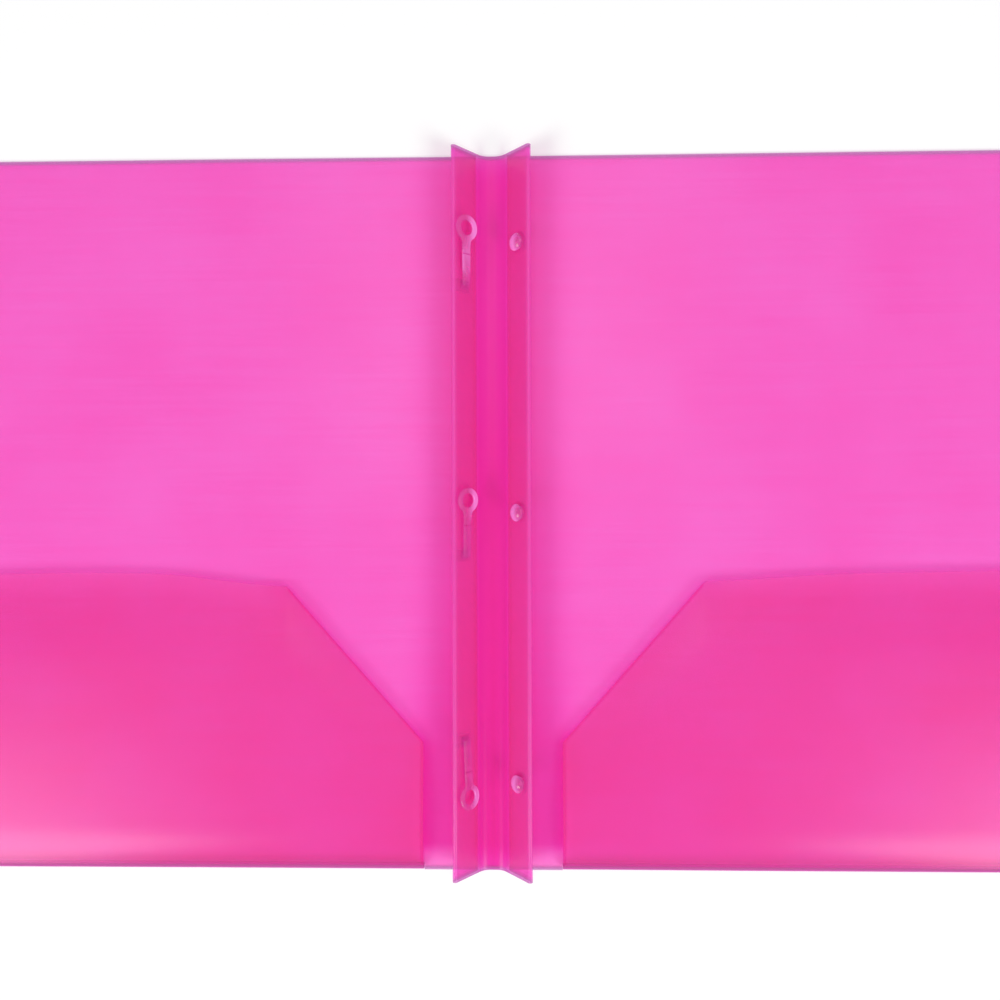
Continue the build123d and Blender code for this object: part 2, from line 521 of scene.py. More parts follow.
def ranged(tree: bpy.types.NodeTree, share: Any, low: Any, high: Any) -> bpy.types.NodeSocket:
    """A number that goes from low to high as a share goes from 0 to 1, each a socket or a value."""
    inputs = {"Value": share, "To Min": low, "To Max": high}
    return add_node(tree, "ShaderNodeMapRange", inputs).outputs["Result"]


@dataclass(frozen=True)
class TranslucentFinish:
    """A dyed resin that is clear with a little milk in it, under a thin gloss."""

    name: str
    milk: str
    milk_pale: str
    dye: str
    dye_deep: str
    clear_share: float
    gloss_roughness: float
    least_mirror: float
    cloud_size: float
    streak_length: float
    streak_width: float
    emboss_size: float
    emboss_depth: float
    emboss_strength: float = 0.5
    cloud_detail: float = 3.0
    fine_detail: float = 2.0
    streak_share: float = 0.4
    tone_range: tuple[float, float] = (0.35, 0.65)
    milk_roughness: float = 0.6
    glance_power: float = 5.0

    def marked(self, tree: bpy.types.NodeTree, parts: dict[str, Any]) -> None:
        """Changes the milk, the dye and the clear share where a piece is marked. A plain resin has no marks.

        Args:
            tree: The material's tree.
            parts: The sockets or values for milk, dye, clear and mirror, which are replaced in place.
        """

    def gloss_share(
        self, tree: bpy.types.NodeTree, bump: bpy.types.NodeSocket, least: Any
    ) -> bpy.types.NodeSocket:
        """The share of light that the outer skin mirrors, more at a glancing angle and none from inside.

        Args:
            tree: The material's tree.
            bump: The skin's normal.
            least: The share of a skin seen straight on, as a socket or a value.

        Returns:
            The socket of the share.
        """
        glance = add_node(tree, "ShaderNodeLayerWeight", {"Blend": 0.5, "Normal": bump}).outputs["Facing"]
        rise = {0: glance, 1: self.glance_power}
        steep = add_node(tree, "ShaderNodeMath", rise, operation="POWER").outputs[0]
        share = ranged(tree, steep, least, 1.0)
        inside = add_node(tree, "ShaderNodeNewGeometry").outputs["Backfacing"]
        outside = add_node(tree, "ShaderNodeMath", {0: 1.0, 1: inside}, operation="SUBTRACT").outputs[0]
        return add_node(tree, "ShaderNodeMath", {0: share, 1: outside}, operation="MULTIPLY").outputs[0]

    def material(self) -> bpy.types.Material:
        """Builds the material: milk and clear dye by share, under the gloss.

        Returns:
            The finished material.
        """
        material = empty_material(self.name)
        tree = material.node_tree
        place = add_node(tree, "ShaderNodeTexCoord").outputs["Object"]
        cloud = noise(tree, place, 1 / self.cloud_size, self.cloud_detail)
        across = (1 / self.streak_length, 1 / self.streak_width, 1 / self.streak_length)
        drawn = add_node(tree, "ShaderNodeMapping", {"Vector": place, "Scale": across}).outputs["Vector"]
        streak = noise(tree, drawn, 1.0, self.fine_detail)
        emboss = noise(tree, place, 1 / self.emboss_size, self.fine_detail)
        # Inputs 2 and 3 are the ones for plain numbers
        drift = {0: self.streak_share, 2: cloud, 3: streak}
        tone = add_node(tree, "ShaderNodeMix", drift, data_type="FLOAT").outputs[0]
        spread = {"Value": tone, "From Min": self.tone_range[0], "From Max": self.tone_range[1]}
        patch = add_node(tree, "ShaderNodeMapRange", spread).outputs["Result"]
        parts = {
            "milk": mixed(tree, patch, srgb(self.milk), srgb(self.milk_pale)),
            "dye": mixed(tree, patch, srgb(self.dye_deep), srgb(self.dye)),
            "clear": self.clear_share,
            "mirror": self.least_mirror,
        }
        self.marked(tree, parts)
        relief = {"Height": emboss, "Strength": self.emboss_strength, "Distance": self.emboss_depth}
        bump = add_node(tree, "ShaderNodeBump", relief).outputs["Normal"]
        skin = {"Roughness": self.milk_roughness, "Specular IOR Level": 0.0, "Normal": bump}
        body = add_node(tree, "ShaderNodeBsdfPrincipled", {"Base Color": parts["milk"], **skin}).outputs[0]
        through = add_node(tree, "ShaderNodeBsdfTransparent", {"Color": parts["dye"]}).outputs[0]
        film = add_node(tree, "ShaderNodeMixShader", {0: parts["clear"], 1: body, 2: through}).outputs[0]
        gloss = add_node(
            tree, "ShaderNodeBsdfGlossy", {"Roughness": self.gloss_roughness, "Normal": bump}
        ).outputs[0]
        mirror = self.gloss_share(tree, bump, parts["mirror"])
        surface = add_node(tree, "ShaderNodeMixShader", {0: mirror, 1: film, 2: gloss}).outputs[0]
        add_node(tree, "ShaderNodeOutputMaterial", {"Surface": surface})
        return material


@dataclass(frozen=True)
class SheetFinish(TranslucentFinish):
    """Translucent polypropylene, extruded as sheet with a fine matte emboss.

    What lies under one layer shows as a light pink, and each further layer deepens it. The drawing rolls
    leave faint streaks. The fin's walls are paler, and the ridge palest: the bruise of the tight fold with a
    painted highlight along its rounding. A cut edge is greyer, partly the edge's own colour and partly
    painted edge shade, and the same grey with painted shade darkens the pocket's foot fold. Beside the spine,
    between the pockets and along the pockets' edges, painted shade deepens the dye and takes out most of the
    gloss.
    Painted light lightens the dye at a cover's open foot and under each pocket's lip. The emboss is drawn
    coarser than the real one, so that it shows.
    """

    name: str = "translucent_polypropylene_sheet"
    milk: str = "#FE6AAF"
    milk_pale: str = "#FE72B6"
    # The fold's bruise with a painted highlight, and a cut edge's grey with painted edge shade
    bruise: str = "#FF74D8"
    cut_edge: str = "#C288B6"
    dye: str = "#FDD4FB"
    dye_deep: str = "#FDCCF8"
    # Tints of the dye for painted shade and painted light
    dye_dim: str = "#FA5EE8"
    dye_lit: str = "#FFE6FF"
    clear_share: float = 0.82
    bruised_clear_share: float = 0.7
    cut_clear_share: float = 0.62
    dim_mirror: float = 0.003
    gloss_roughness: float = 0.26
    least_mirror: float = 0.035
    cloud_size: float = 60 * MM
    streak_length: float = 70 * MM
    streak_width: float = 1.8 * MM
    emboss_size: float = 0.7 * MM
    emboss_depth: float = 0.02 * MM

    def marked(self, tree: bpy.types.NodeTree, parts: dict[str, Any]) -> None:
        """Pales the folds with a painted highlight, greys cut edges with painted edge shade, and tints the
        dye with painted shade and painted light.

        Args:
            tree: The material's tree.
            parts: The sockets or values for milk, dye, clear and mirror, which are replaced in place.
        """
        given = {}
        for mark in Mark:
            node = add_node(tree, "ShaderNodeAttribute", attribute_name=mark.value)
            given[mark] = node.outputs["Fac"]
        # PALE is the fold's bruise with a painted highlight, CUT the cut edge with painted edge shade, DIM
        # painted shade and LIT painted light
        for mark, colour, part in (
            (Mark.PALE, self.bruise, "milk"),
            (Mark.CUT, self.cut_edge, "milk"),
            (Mark.DIM, self.dye_dim, "dye"),
            (Mark.LIT, self.dye_lit, "dye"),
        ):
            parts[part] = mixed(tree, given[mark], parts[part], srgb(colour))
        for mark, share in ((Mark.PALE, self.bruised_clear_share), (Mark.CUT, self.cut_clear_share)):
            parts["clear"] = ranged(tree, given[mark], parts["clear"], share)
        # Painted shade also takes out most of the gloss
        parts["mirror"] = ranged(tree, given[Mark.DIM], parts["mirror"], self.dim_mirror)


@dataclass(frozen=True)
class FastenerFinish(TranslucentFinish):
    """Natural polypropylene, injection moulded in a polished tool.

    The unfilled resin is milky and half clear, so the pink under it shows through, and the polished skin has
    a soft gloss with faint flow marks. The studs' sides that face the valley and parts of the straps get
    painted light, a paler and less clear tone.
    """

    name: str = "moulded_polypropylene_fastener"
    milk: str = "#EA72C6"
    milk_pale: str = "#F07ECE"
    # Painted light: a paler tone, and how clear it stays
    gathered: str = "#FF98EC"
    dye: str = "#FDE8FD"
    dye_deep: str = "#FBE0FB"
    clear_share: float = 0.86
    gathered_clear_share: float = 0.25
    gloss_roughness: float = 0.2
    least_mirror: float = 0.05
    cloud_size: float = 3.0 * MM
    streak_length: float = 6.0 * MM
    streak_width: float = 1.0 * MM
    emboss_size: float = 0.9 * MM
    emboss_depth: float = 0.01 * MM

    def marked(self, tree: bpy.types.NodeTree, parts: dict[str, Any]) -> None:
        """Paints light on the marked sides as a paler, less clear tone.

        Args:
            tree: The material's tree.
            parts: The sockets or values for milk, dye, clear and mirror, which are replaced in place.
        """
        pale = add_node(tree, "ShaderNodeAttribute", attribute_name=Mark.PALE.value).outputs["Fac"]
        parts["milk"] = mixed(tree, pale, parts["milk"], srgb(self.gathered))
        parts["clear"] = ranged(tree, pale, parts["clear"], self.gathered_clear_share)


@dataclass
class BindingFin:
    """One half of the spine panel and the hollow fin beside it, as one folded run of the sheet."""

    side: Side
    layout: FolderLayout
    valley_radius: float = 6.0 * MM
    bruise_width: float = 2.6 * MM
    wall_bruise: float = 0.38
    run_step: float = 1.0 * MM
    row_step: float = 4.0 * MM
    arc_steps: int = 10

    def section(self) -> list[Vector]:
        """The middle of the sheet from the spine's centre over the ridge and down the outer wall.

        Returns:
            The x and z of its points, on the right side.
        """
        lay = self.layout
        tip = lay.fin_length - SHEET / 2
        corners = [
            Vector((0.0, lay.mid_sheet)),
            Vector((lay.spine_fold, lay.mid_sheet)),
            lay.fin_section(tip, 0.0),
            lay.fin_section(tip, -lay.wall_pitch),
            lay.fin_section(lay.outer_wall_end, -lay.wall_pitch),
        ]
        radii = (self.valley_radius, lay.wall_pitch / 2, lay.wall_pitch / 2)
        return rounded_path(corners, radii, self.run_step, self.arc_steps)

    def build(self, film: bpy.types.Material) -> None:
        """Makes the half spine and its fin, which meet at the spine fold.

        Args:
            film: The sheet's material.
        """
        lay = self.layout
        label = self.side.label
        rows = np.array(edged(-lay.half_height, lay.half_height, self.row_step))
        section = np.array([tuple(point) for point in self.section()])
        grid = sheet_grid(self.side, section[:, :1], rows[None, :], section[:, 1:])
        run, rise = math.cos(lay.fin_angle), math.sin(lay.fin_angle)
        up = (section[:, 0] - lay.spine_fold) * run + (section[:, 1] - lay.mid_sheet) * rise
        # The fin's walls are paler, and the ridge palest: the fold's bruise with a painted highlight along it
        walls = self.wall_bruise * ease(up, 0.0, self.valley_radius)
        ridge = (1.0 - self.wall_bruise) * ease(up, lay.fin_length - self.bruise_width, lay.fin_length)
        marks = {
            Mark.PALE: np.repeat((walls + ridge)[:, None], len(rows), axis=1),
            # Painted shade in the valley and on the walls, and grey ends with painted edge shade
            Mark.DIM: TableShade().under_spine(section[:, :1], rows[None, :]),
            Mark.CUT: np.repeat(cut_share(lay.half_height - np.abs(rows))[None, :], len(section), axis=0),
        }
        piece = sheet_piece(f"{label}_fin_sheet", grid, marks)
        piece.data.materials.append(film)
        start = Vector((self.side.value * (lay.spine_fold - self.valley_radius), 0.0, 0.0))
        end = Vector((self.side.value * (lay.spine_fold + self.valley_radius), 0.0, 0.0))
        nodes = ("spine_panel", f"{label}_gusset_inner", f"{label}_gusset_outer")
        seat(piece, ("spine", f"{label}_fin"), nodes, (start, end))


@dataclass
class CoverLeaf:
    """One cover, with the crease that joins it to its fin's outer wall."""

    side: Side
    layout: FolderLayout
    crease_radius: float = 0.45 * MM
    crease_end: float = 9.0 * MM
    crease_step: float = 0.8 * MM
    crease_arc_steps: int = 12
    bend_before: float = 1.0 * MM
    bend_after: float = 0.6 * MM
    bend_way: tuple[float, float] = (0.6, -0.8)
    corner_radius: float = 6.0 * MM
    corner_steps: int = 10
    column_step: float = 5.0 * MM
    row_step: float = 4.5 * MM
    cut_step: float = 0.01 * MM
    wave_height: float = 0.22 * MM
    wave_start: float = 32 * MM
    wave_full: float = 110 * MM
    slow_lengths: tuple[float, float] = (310 * MM, 420 * MM)
    slow_phase: float = 0.6
    slow_share: float = 0.6
    quick_lengths: tuple[float, float] = (260 * MM, 190 * MM)
    quick_phase: float = 0.4
    quick_share: float = 0.4

    def wave(self, x: Any, y: Any) -> Any:
        """How far the sheet stands off the table where it isn't quite flat.

        Args:
            x: Distance from the spine's middle.
            y: Place along the spine.

        Returns:
            The height, nothing near the fin and up to twice the wave height further out.
        """
        far = ease(x, self.wave_start, self.wave_full)
        across, along = self.slow_lengths
        slow = np.sin(math.tau * (x / across + y / along) + self.slow_phase * self.side.value)
        across, along = self.quick_lengths
        quick = np.sin(math.tau * (y / along - x / across) + self.quick_phase)
        return self.wave_height * far * (1.0 + self.slow_share * slow + self.quick_share * quick)

    def section(self) -> list[Vector]:
        """The middle of the sheet from the fin's outer wall through the crease to the fore edge.

        Returns:
            The x and z of its points, on the right side.
        """
        lay = self.layout
        lean = lay.wall_pitch * math.cos(lay.fin_angle) / math.sin(lay.fin_angle)
        corners = [
            lay.fin_section(lay.outer_wall_end, -lay.wall_pitch),
            lay.fin_section(lean, -lay.wall_pitch),
            Vector((self.crease_end, lay.mid_sheet)),
        ]
        points = rounded_path(corners, (self.crease_radius,), self.crease_step, self.crease_arc_steps)
        inner, fore = lay.pocket_inner, lay.fore_edge
        places = spaced(self.crease_end, inner - self.cut_step, self.column_step)[1:]
        places += spaced(inner + self.cut_step, fore - self.corner_radius, self.column_step)
        quarter = math.pi / 2 / self.corner_steps
        for k in range(1, self.corner_steps + 1):
            places.append(fore - self.corner_radius * (1 - math.sin(k * quarter)))
        return points + [Vector((x, lay.mid_sheet)) for x in places]

    def build(self, film: bpy.types.Material) -> None:
        """Makes the cover, with its crease at the cover fold.

        Args:
            film: The sheet's material.
        """
        lay = self.layout
        label = self.side.label
        section = np.array([tuple(point) for point in self.section()])
        x, z = section[:, :1], section[:, 1:]
        beyond = np.clip(x - (lay.fore_edge - self.corner_radius), 0.0, self.corner_radius)
        top = lay.half_height - self.corner_radius + np.sqrt(self.corner_radius**2 - beyond**2)
        bottom = np.where(x < lay.pocket_inner, -lay.half_height, lay.pocket_foot)
        low, high = bottom + 2 * CUT_WIDTH, top - 2 * CUT_WIDTH
        share = np.linspace(0.0, 1.0, math.ceil(2 * lay.half_height / self.row_step))
        between = low + (high - low) * share
        y = np.concatenate([bottom, bottom + CUT_WIDTH, between, top - CUT_WIDTH, top], axis=1)
        grid = sheet_grid(self.side, x, y, z + self.wave(x, y))
        open_foot = np.where(x < lay.pocket_inner, y - bottom, lay.half_height)
        # Grey along the cut edges and the open foot: the edge's colour with painted edge shade
        cut = cut_share(np.minimum(np.minimum(top - y, open_foot), lay.fore_edge - x))
        corner = lay.pocket_foot + lay.pocket_inner_height
        shade = TableShade()
        # Painted shade beside the fin and the pocket, and painted light at the open foot
        dim = shade.under_cover(x, y, lay.pocket_inner, corner)
        lit = shade.bare_patch(x, y, lay.pocket_inner)
        marks = {Mark.DIM: dim, Mark.LIT: lit, Mark.CUT: cut}
        piece = sheet_piece(f"{label}_cover_sheet", grid, marks)
        piece.data.materials.append(film)
        foot = Vector((self.side.value * lay.cover_fold, 0.0, lay.mid_sheet))
        way = Vector((self.bend_way[0] * self.side.value, 0.0, self.bend_way[1]))
        bend = (foot - way * self.bend_before, foot + way * self.bend_after)
        seat(piece, (f"{label}_fin", f"{label}_leaf"), (f"{label}_cover",), bend)


@dataclass
class Pocket:
    """One pocket: the fold at its foot, the panel with its slanted corner, and the weld at the fore edge."""

    side: Side
    layout: FolderLayout
    cover: CoverLeaf
    lip_bow: float
    lip_tilt: float
    corner_droop: float
    gap: float = 4.4 * MM
    weld_gap: float = 0.12 * MM
    cut_width: float = 59 * MM
    droop_reach: float = 60 * MM
    foot_share: float = 0.55
    foot_rise: float = 16 * MM
    weld_band: float = 5 * MM
    weld_slope: float = 30 * MM
    column_step: float = 4.0 * MM
    # Painted shade along the slanted cut and the inner edge
    edge_dim: float = 0.6
    lip_share: float = 0.5
    lip_droop_reach: float = 35 * MM
    # Painted light under the level lip, and how far it reaches
    lip_glow: float = 0.9
    lip_reach: float = 13 * MM
    # Painted shade on the foot fold, in the cut edge's grey
    fold_grey: float = 0.9
    fold_steps: int = 14
    panel_rows: int = 36

    def opening(self, x: np.ndarray) -> np.ndarray:
        """The pocket's gap at its middle height, which closes towards the weld.

        Args:
            x: Distance from the spine's middle.

        Returns:
            The gap at each place.
        """
        fore = self.layout.fore_edge
        shut = ease(x, fore - self.weld_band - self.weld_slope, fore - self.weld_band)
        return self.weld_gap + (self.gap - self.weld_gap) * (1.0 - shut)

    @property
    def corner(self) -> float:
        """How far from the spine the slanted cut meets the lip.

        Returns:
            The distance from the spine's middle.
        """
        lay = self.layout
        rise = lay.pocket_lip - lay.pocket_foot - lay.pocket_inner_height
        return lay.pocket_inner + self.cut_width * (1.0 - self.corner_droop / rise)

    def lip(self, x: np.ndarray) -> np.ndarray:
        """The pocket's upper edge: the slanted cut, then a lip that droops at its corner, bows and tilts.

        Args:
            x: Distance from the spine's middle.

        Returns:
            The edge's place along the spine.
        """
        lay = self.layout
        slant = lay.pocket_foot + lay.pocket_inner_height
        slanted = slant + (lay.pocket_lip - slant) * (x - lay.pocket_inner) / self.cut_width
        share = np.clip((x - self.corner) / (lay.fore_edge - self.corner), 0.0, 1.0)
        level = lay.pocket_lip + self.lip_bow * np.sin(math.pi * share) + self.lip_tilt * share
        level = level - self.corner_droop * (1.0 - ease(x, self.corner, self.corner + self.droop_reach))
        return np.where(x < self.corner, slanted, level)

    def build(self, film: bpy.types.Material) -> None:
        """Makes the pocket as one run of the sheet, from the cover's foot round the fold to the lip.

        Args:
            film: The sheet's material.
        """
        lay = self.layout
        label = self.side.label
        places = edged(lay.pocket_inner, self.corner, self.column_step)
        places += edged(self.corner, lay.fore_edge, self.column_step)[1:]
        x = np.array(places)[:, None]
        opening = self.opening(x)
        radius = (opening * self.foot_share + SHEET) / 2
        base = lay.mid_sheet + self.cover.wave(x, lay.pocket_foot)
        turn = np.linspace(0.0, math.pi, self.fold_steps + 1)[None, :]
        fold_y = lay.pocket_foot - radius * np.sin(turn)
        fold_z = base + radius * (1.0 - np.cos(turn))
        lip = self.lip(x)
        share = np.linspace(0.0, 1.0, self.panel_rows + 1)[None, :]
        low, high = lay.pocket_foot + CUT_WIDTH, lip - 2 * CUT_WIDTH
        panel_y = np.concatenate([low + (high - low) * share, lip - CUT_WIDTH, lip], axis=1)
        short = np.clip(1.0 - (panel_y - lay.pocket_foot) / self.foot_rise, 0.0, 1.0)
        drooped = 1.0 - ease(lip - panel_y, 0.0, self.lip_droop_reach)
        swell = 1.0 - (1.0 - self.foot_share) * short**2 - (1.0 - self.lip_share) * drooped
        panel_z = lay.mid_sheet + self.cover.wave(x, panel_y) + SHEET + opening * swell
        y = np.concatenate([fold_y, panel_y], axis=1)
        grid = sheet_grid(self.side, x, y, np.concatenate([fold_z, panel_z], axis=1))
        folded = (np.arange(y.shape[1]) <= self.fold_steps)[None, :]
        # Painted shade along the slanted cut and the inner edge, and all over the foot fold
        slanted = np.where(x < self.corner, lip - y, lay.half_height)
        dim = self.edge_dim * cut_share(np.minimum(slanted, x - lay.pocket_inner))
        dim = np.where(folded, 1.0, dim)
        # Painted light under the level lip
        level = ease(x, self.corner, self.corner + self.lip_reach)
        lit = self.lip_glow * level * (1.0 - ease(lip - y, 0.0, self.lip_reach))
        # Grey along the fore edge, and the painted shade's grey on the foot fold
        cut = np.where(folded, self.fold_grey, cut_share(lay.fore_edge - x))
        marks = {Mark.DIM: dim, Mark.LIT: lit, Mark.CUT: cut}
        piece = sheet_piece(f"{label}_pocket_sheet", grid, marks)
        piece.data.materials.append(film)
        nodes = [f"{label}_{part}" for part in ("pocket", "pocket_bottom_fold", "pocket_side_seam")]
        seat(piece, (f"{label}_leaf",), nodes)


def row_along_spine() -> bpy.types.GeometryNodeTree:
    """Builds the tree that repeats its own geometry in an even row along y.

    Returns:
        A tree with the inputs Geometry, Count, Start, Pitch and Finish.
    """
    tree = bpy.data.node_groups.new("row_along_spine", "GeometryNodeTree")
    sockets = (
        ("Geometry", "INPUT", "NodeSocketGeometry"),
        ("Count", "INPUT", "NodeSocketInt"),
        ("Start", "INPUT", "NodeSocketVector"),
        ("Pitch", "INPUT", "NodeSocketVector"),
        ("Finish", "INPUT", "NodeSocketMaterial"),
        ("Geometry", "OUTPUT", "NodeSocketGeometry"),
    )
    for name, direction, kind in sockets:
        tree.interface.new_socket(name, in_out=direction, socket_type=kind)
    given = add_node(tree, "NodeGroupInput").outputs
    line = add_node(
        tree,
        "GeometryNodeMeshLine",
        {"Count": given["Count"], "Start Location": given["Start"], "Offset": given["Pitch"]},
        mode="OFFSET",
    ).outputs["Mesh"]
    placed = add_node(
        tree, "GeometryNodeInstanceOnPoints", {"Points": line, "Instance": given["Geometry"]}
    ).outputs["Instances"]
    real = add_node(tree, "GeometryNodeRealizeInstances", {"Geometry": placed}).outputs["Geometry"]
    dressed = add_node(
        tree, "GeometryNodeSetMaterial", {"Geometry": real, "Material": given["Finish"]}
    ).outputs["Geometry"]
    add_node(tree, "NodeGroupOutput", {"Geometry": dressed})
    return tree


def repeat_along_spine(
    blank: bpy.types.Object,
    tree: bpy.types.GeometryNodeTree,
    count: int,
    start: float,
    pitch: float,
    finish: bpy.types.Material,
) -> bpy.types.Object:
    """Turns one piece into a row of them, as a plain mesh.

    Args:
        blank: The piece to repeat, which the row takes the place of.
        tree: The tree that makes the row.
        count: How many there are.
        start: How far along y the first one moves.
        pitch: The step along y.
        finish: The row's material.

    Returns:
        The row, under the piece's name.
    """
    name = blank.name
    modifier = blank.modifiers.new("row", "NODES")
    modifier.node_group = tree
    wanted = {"Count": count, "Start": (0.0, start, 0.0), "Pitch": (0.0, pitch, 0.0), "Finish": finish}
    for item in tree.interface.items_tree:
        if item.in_out == "INPUT" and item.name in wanted:
            modifier[item.identifier] = wanted[item.name]
    evaluated = blank.evaluated_get(bpy.context.evaluated_depsgraph_get())
    mesh = bpy.data.meshes.new_from_object(evaluated)
    blank.modifiers.remove(modifier)
    bpy.data.objects.remove(blank)
    return object_from(name, mesh)


@dataclass
class StudRow:
    """The three domed studs on the right fin that hold punched paper."""

    layout: FolderLayout
    neck_radius: float = 2.5 * MM
    neck_height: float = 1.25 * MM
    head_radius: float = 3.5 * MM
    rim_height: float = 0.35 * MM
    crown_height: float = 1.6 * MM
    edge_radius: float = 0.16 * MM
    segments: int = 48
    edge_steps: int = 3
    crown_steps: int = 12
    # Where the painted light on each stud's valley side starts and is full
    glow_from: float = -2.5 * MM
    glow_full: float = 0.5 * MM

    def profile(self) -> list[tuple[float, float]]:
        """One stud's outline, from the axis at the foot to the axis at the crown.

        Returns:
            The radius of each point, and its height above the middle of the fin's wall.
        """
        foot = SHEET / 2
        under = foot + self.neck_height
        rim = under + self.rim_height
        edge = self.edge_radius
        points = [(0.0, foot), (self.neck_radius + edge, foot), (self.neck_radius, foot + edge)]
        points += [(self.neck_radius, under - edge), (self.neck_radius + edge, under)]
        for k in range(self.edge_steps + 1):
            angle = math.pi / 2 * k / self.edge_steps
            radius = self.head_radius - edge * (1 - math.sin(angle))
            points.append((radius, under + edge * (1 - math.cos(angle))))
        ball = (self.head_radius**2 + self.crown_height**2) / (2 * self.crown_height)
        widest = math.asin(self.head_radius / ball)
        for k in range(self.crown_steps + 1):
            angle = widest * (1 - k / self.crown_steps)
            points.append((ball * math.sin(angle), rim + self.crown_height - ball * (1 - math.cos(angle))))
        return points

    def build(self, plastic: bpy.types.Material, tree: bpy.types.GeometryNodeTree) -> None:
        """Turns one stud on its axis and repeats it at the hole pitch.

        Args:
            plastic: The fasteners' material.
            tree: The tree that makes a row.
        """
        lay = self.layout
        points, faces = [], []
        profile = self.profile()
        for k in range(self.segments):
            angle = math.tau * k / self.segments
            for radius, height in profile:
                up = lay.fastener_rise + radius * math.cos(angle)
                points.append(lay.on_fin(Side.RIGHT, up, radius * math.sin(angle), height))
        size = len(profile)
        for k in range(self.segments):
            here, there = k * size, (k + 1) % self.segments * size
            faces += [(here + i, there + i, there + i + 1, here + i + 1) for i in range(size - 1)]
        mesh = bpy.data.meshes.new("paper_studs")
        mesh.from_pydata(points, [], faces)
        # Painted light on the side of each stud that faces the valley
        up = np.array([math.cos(math.tau * k / self.segments) for k in range(self.segments)])[:, None]
        valley_side = -up * np.array([radius for radius, _ in profile])[None, :]
        mark_points(mesh, Mark.PALE, ease(valley_side, self.glow_from, self.glow_full).ravel())
        blank = object_from("paper_studs", mesh)
        row = repeat_along_spine(blank, tree, len(Place), -lay.hole_pitch, lay.hole_pitch, plastic)
        seat(row, ("right_fin",), [f"{place.label}_stud" for place in Place])


